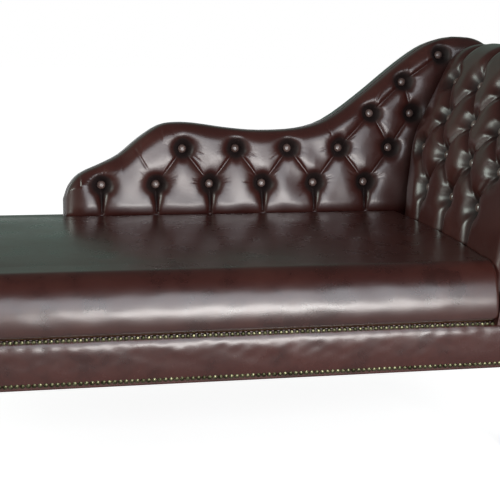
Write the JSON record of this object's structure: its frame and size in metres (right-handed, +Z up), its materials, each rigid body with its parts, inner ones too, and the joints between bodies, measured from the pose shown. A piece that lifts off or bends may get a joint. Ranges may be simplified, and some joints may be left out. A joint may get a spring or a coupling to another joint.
{
  "type": "fainting couch",
  "caption": "Upholstered chaise longue with a rolled-edge leather seat, a swooping deep-buttoned back, a scrolled head rest, nail trim and turned legs.",
  "frame": {"origin": "centre of the overall footprint, on the floor under the legs", "axes": "+X from the foot end to the head rest, +Y from the front border to the back rest, +Z up"},
  "size_m": [1.672, 0.8039, 0.8556],
  "materials": {
    "frame_wood": "sawn",
    "leg_wood": "satin",
    "steel": "plain",
    "glide": "matte",
    "leather": "glossy",
    "brass": "antiqued",
    "twine": "matte",
    "hessian": "matte",
    "foam": "matte",
    "dust_cloth": "matte"
  },
  "bodies": {
    "root": {"front_rail": "frame_wood", "rear_rail": "frame_wood", "foot_rail": "frame_wood", "head_rail": "frame_wood", "cross_rails": "frame_wood", "rail_dowels": "frame_wood", "corner_blocks": "frame_wood", "leg_foot_front": "leg_wood", "leg_foot_rear": "leg_wood", "leg_head_front": "leg_wood", "leg_head_rear": "leg_wood", "leg_bolts": "steel", "leg_nuts": "steel", "leg_glides": "glide", "back_posts": "frame_wood", "back_board": "frame_wood", "back_pad": "leather", "back_buttons": "leather", "back_ties": "twine", "outside_back": "leather", "head_ribs": "frame_wood", "head_slats": "frame_wood", "head_liner": "frame_wood", "top_roll": "frame_wood", "head_pad": "leather", "head_buttons": "leather", "head_ties": "twine", "head_outer_panel": "leather", "head_facing": "frame_wood", "facing_cover": "leather", "facing_nails": "brass", "seat_springs": "steel", "spring_clips": "steel", "spring_hessian": "hessian", "seat_foam": "foam", "seat_cover": "leather", "border_band": "leather", "upper_nails": "brass", "lower_nails": "brass", "dust_cloth": "dust_cloth"}
  },
  "joints": []
}
